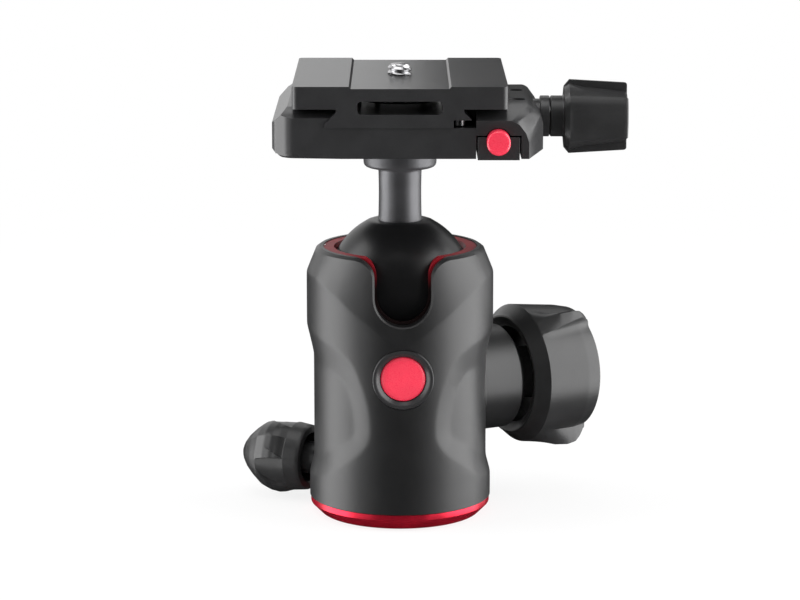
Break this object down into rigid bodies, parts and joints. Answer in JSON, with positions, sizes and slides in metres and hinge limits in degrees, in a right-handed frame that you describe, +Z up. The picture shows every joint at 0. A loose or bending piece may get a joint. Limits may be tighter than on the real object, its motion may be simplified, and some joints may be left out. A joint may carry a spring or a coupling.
{
  "type": "tripod ball head",
  "caption": "Ball head with portrait slot, main and pan lock knobs, and a screw-knob dovetail clamp that holds a sliding camera plate behind a push-button safety latch.",
  "frame": {"origin": "centre of the base's bottom face, on the tripod thread's axis", "axes": "+Z up along the pan axis; -Y is the front with the stem slot and the round badge; the lock knob and the clamp knob are on the +X side, the pan knob on the -X side"},
  "size_m": [0.1016, 0.0748, 0.1186],
  "materials": {
    "black_casting": "fine textured black powder coat",
    "black_anodised": "satin black anodised aluminium",
    "grey_anodised": "satin dark grey anodised stem",
    "ball_black": "smooth satin black ball",
    "red_anodised": "bright red anodised aluminium",
    "dark_red": "dark red anodised seat ring",
    "red_plastic": "red moulded plastic",
    "knob_plastic": "fine textured black moulded plastic",
    "knob_rubber": "matt black over-moulded rubber",
    "steel": "machined steel",
    "brass": "turned brass",
    "white_polymer": "low-friction polymer"
  },
  "bodies": {
    "base": {"base_plate": "red_anodised", "thread_insert": "steel", "pan_washer": "white_polymer", "pan_retaining_ring": "steel"},
    "head_housing": {"housing": "black_casting", "floor_plate": "steel", "floor_screws": "steel", "seat_ring": "dark_red", "seat_ring_set_screw": "steel", "badge_bezel": "black_anodised", "badge_disc": "red_plastic", "lock_boss": "black_anodised", "pan_boss": "steel", "drag_spring": "steel"},
    "cup": {"lower_cup": "black_anodised", "cup_liner": "white_polymer"},
    "wedge": {"locking_wedge": "steel"},
    "lock_knob": {"lock_spindle": "steel", "lock_knob_core": "knob_plastic", "lock_knob_grip": "knob_rubber", "lock_knob_cap": "knob_plastic"},
    "pan_pad": {"pan_brake_pad": "brass"},
    "pan_lock_knob": {"pan_spindle": "steel", "pan_knob": "knob_rubber"},
    "friction_pad": {"drag_pad": "white_polymer"},
    "ball_and_stem": {"ball": "ball_black", "stem": "grey_anodised"},
    "clamp": {"clamp_body": "black_anodised", "clamp_screw": "steel", "clamp_bushing": "black_anodised", "block_screws": "steel", "latch_block": "black_anodised", "button_spring": "steel"},
    "jaw": {"movable_jaw": "black_anodised", "jaw_guide_pins": "steel"},
    "jaw_knob": {"clamp_spindle": "steel", "clamp_knob": "knob_rubber"},
    "button": {"release_button": "red_plastic"},
    "pin": {"latch_pin": "steel"},
    "camera_plate": {"plate": "black_anodised", "plate_stop_screw": "steel", "screw_washer": "white_polymer"},
    "screw": {"camera_screw": "steel"},
    "screw_ring": {"d_ring": "steel"}
  },
  "joints": [
    {"name": "pan", "type": "hinge", "parent": "base", "child": "head_housing", "pos_m": [0, 0, 0], "axis": [0, 0, 1], "continuous": true},
    {"name": "wedge_slide", "type": "slide", "parent": "head_housing", "child": "wedge", "axis": [0.8829, 0.4695, 0], "range_m": [0, 0.00075]},
    {"name": "lock_knob_turn", "type": "hinge", "parent": "wedge", "child": "lock_knob", "pos_m": [0, 0, 0.033], "axis": [0.8829, 0.4695, 0], "range_deg": [0, 180]},
    {"name": "cup_drop", "type": "slide", "parent": "head_housing", "child": "cup", "axis": [0, 0, -1], "range_m": [0, 0.00021], "stiffness_N_per_m": 20, "springref_m": -0.00865},
    {"name": "pan_pad_slide", "type": "slide", "parent": "head_housing", "child": "pan_pad", "axis": [-0.9135, 0.4067, 0], "range_m": [0, 0.0004]},
    {"name": "pan_knob_turn", "type": "hinge", "parent": "pan_pad", "child": "pan_lock_knob", "pos_m": [0, 0, 0.011], "axis": [-0.9135, 0.4067, 0], "range_deg": [0, 180]},
    {"name": "ball_tilt_side", "type": "hinge", "parent": "head_housing", "child": "friction_pad", "pos_m": [0, 0, 0.061], "axis": [-0.0349, 0.9994, 0], "range_deg": [-30, 30]},
    {"name": "ball_tilt_front", "type": "hinge", "parent": "friction_pad", "child": "ball_and_stem", "pos_m": [0, 0, 0.061], "axis": [0.9994, 0.0349, 0], "range_deg": [-30, 90]},
    {"name": "stem_turn", "type": "hinge", "parent": "ball_and_stem", "child": "clamp", "pos_m": [0, 0, 0.061], "axis": [0, 0, 1], "continuous": true},
    {"name": "jaw_slide", "type": "slide", "parent": "clamp", "child": "jaw", "axis": [1, 0, 0], "range_m": [0, 0.002]},
    {"name": "jaw_knob_turn", "type": "hinge", "parent": "jaw", "child": "jaw_knob", "pos_m": [0, 0, 0.105], "axis": [1, 0, 0], "range_deg": [0, 720]},
    {"name": "button_press", "type": "slide", "parent": "clamp", "child": "button", "axis": [0, 1, 0], "range_m": [0, 0.0025], "stiffness_N_per_m": 800, "springref_m": -0.001},
    {"name": "latch_pin_drop", "type": "slide", "parent": "clamp", "child": "pin", "axis": [0, 0, -1], "range_m": [0, 0.0018]},
    {"name": "plate_slide", "type": "slide", "parent": "clamp", "child": "camera_plate", "axis": [0, 1, 0], "range_m": [-0.012, 0.011]},
    {"name": "camera_screw_turn", "type": "hinge", "parent": "camera_plate", "child": "screw", "pos_m": [0, 0, 0.1114], "axis": [0, 0, 1], "continuous": true},
    {"name": "ring_fold", "type": "hinge", "parent": "screw", "child": "screw_ring", "pos_m": [0, 0, 0.1086], "axis": [1, 0, 0], "range_deg": [0, 25]}
  ],
  "couplings": [
    {"joint": "lock_knob_turn", "follows": "wedge_slide", "rad_per_m": 4188.7},
    {"joint": "cup_drop", "follows": "wedge_slide", "ratio": 0.26795},
    {"joint": "pan_knob_turn", "follows": "pan_pad_slide", "rad_per_m": 7853.9},
    {"joint": "jaw_knob_turn", "follows": "jaw_slide", "rad_per_m": 6283.1},
    {"joint": "latch_pin_drop", "follows": "button_press", "ratio": 0.72}
  ]
}
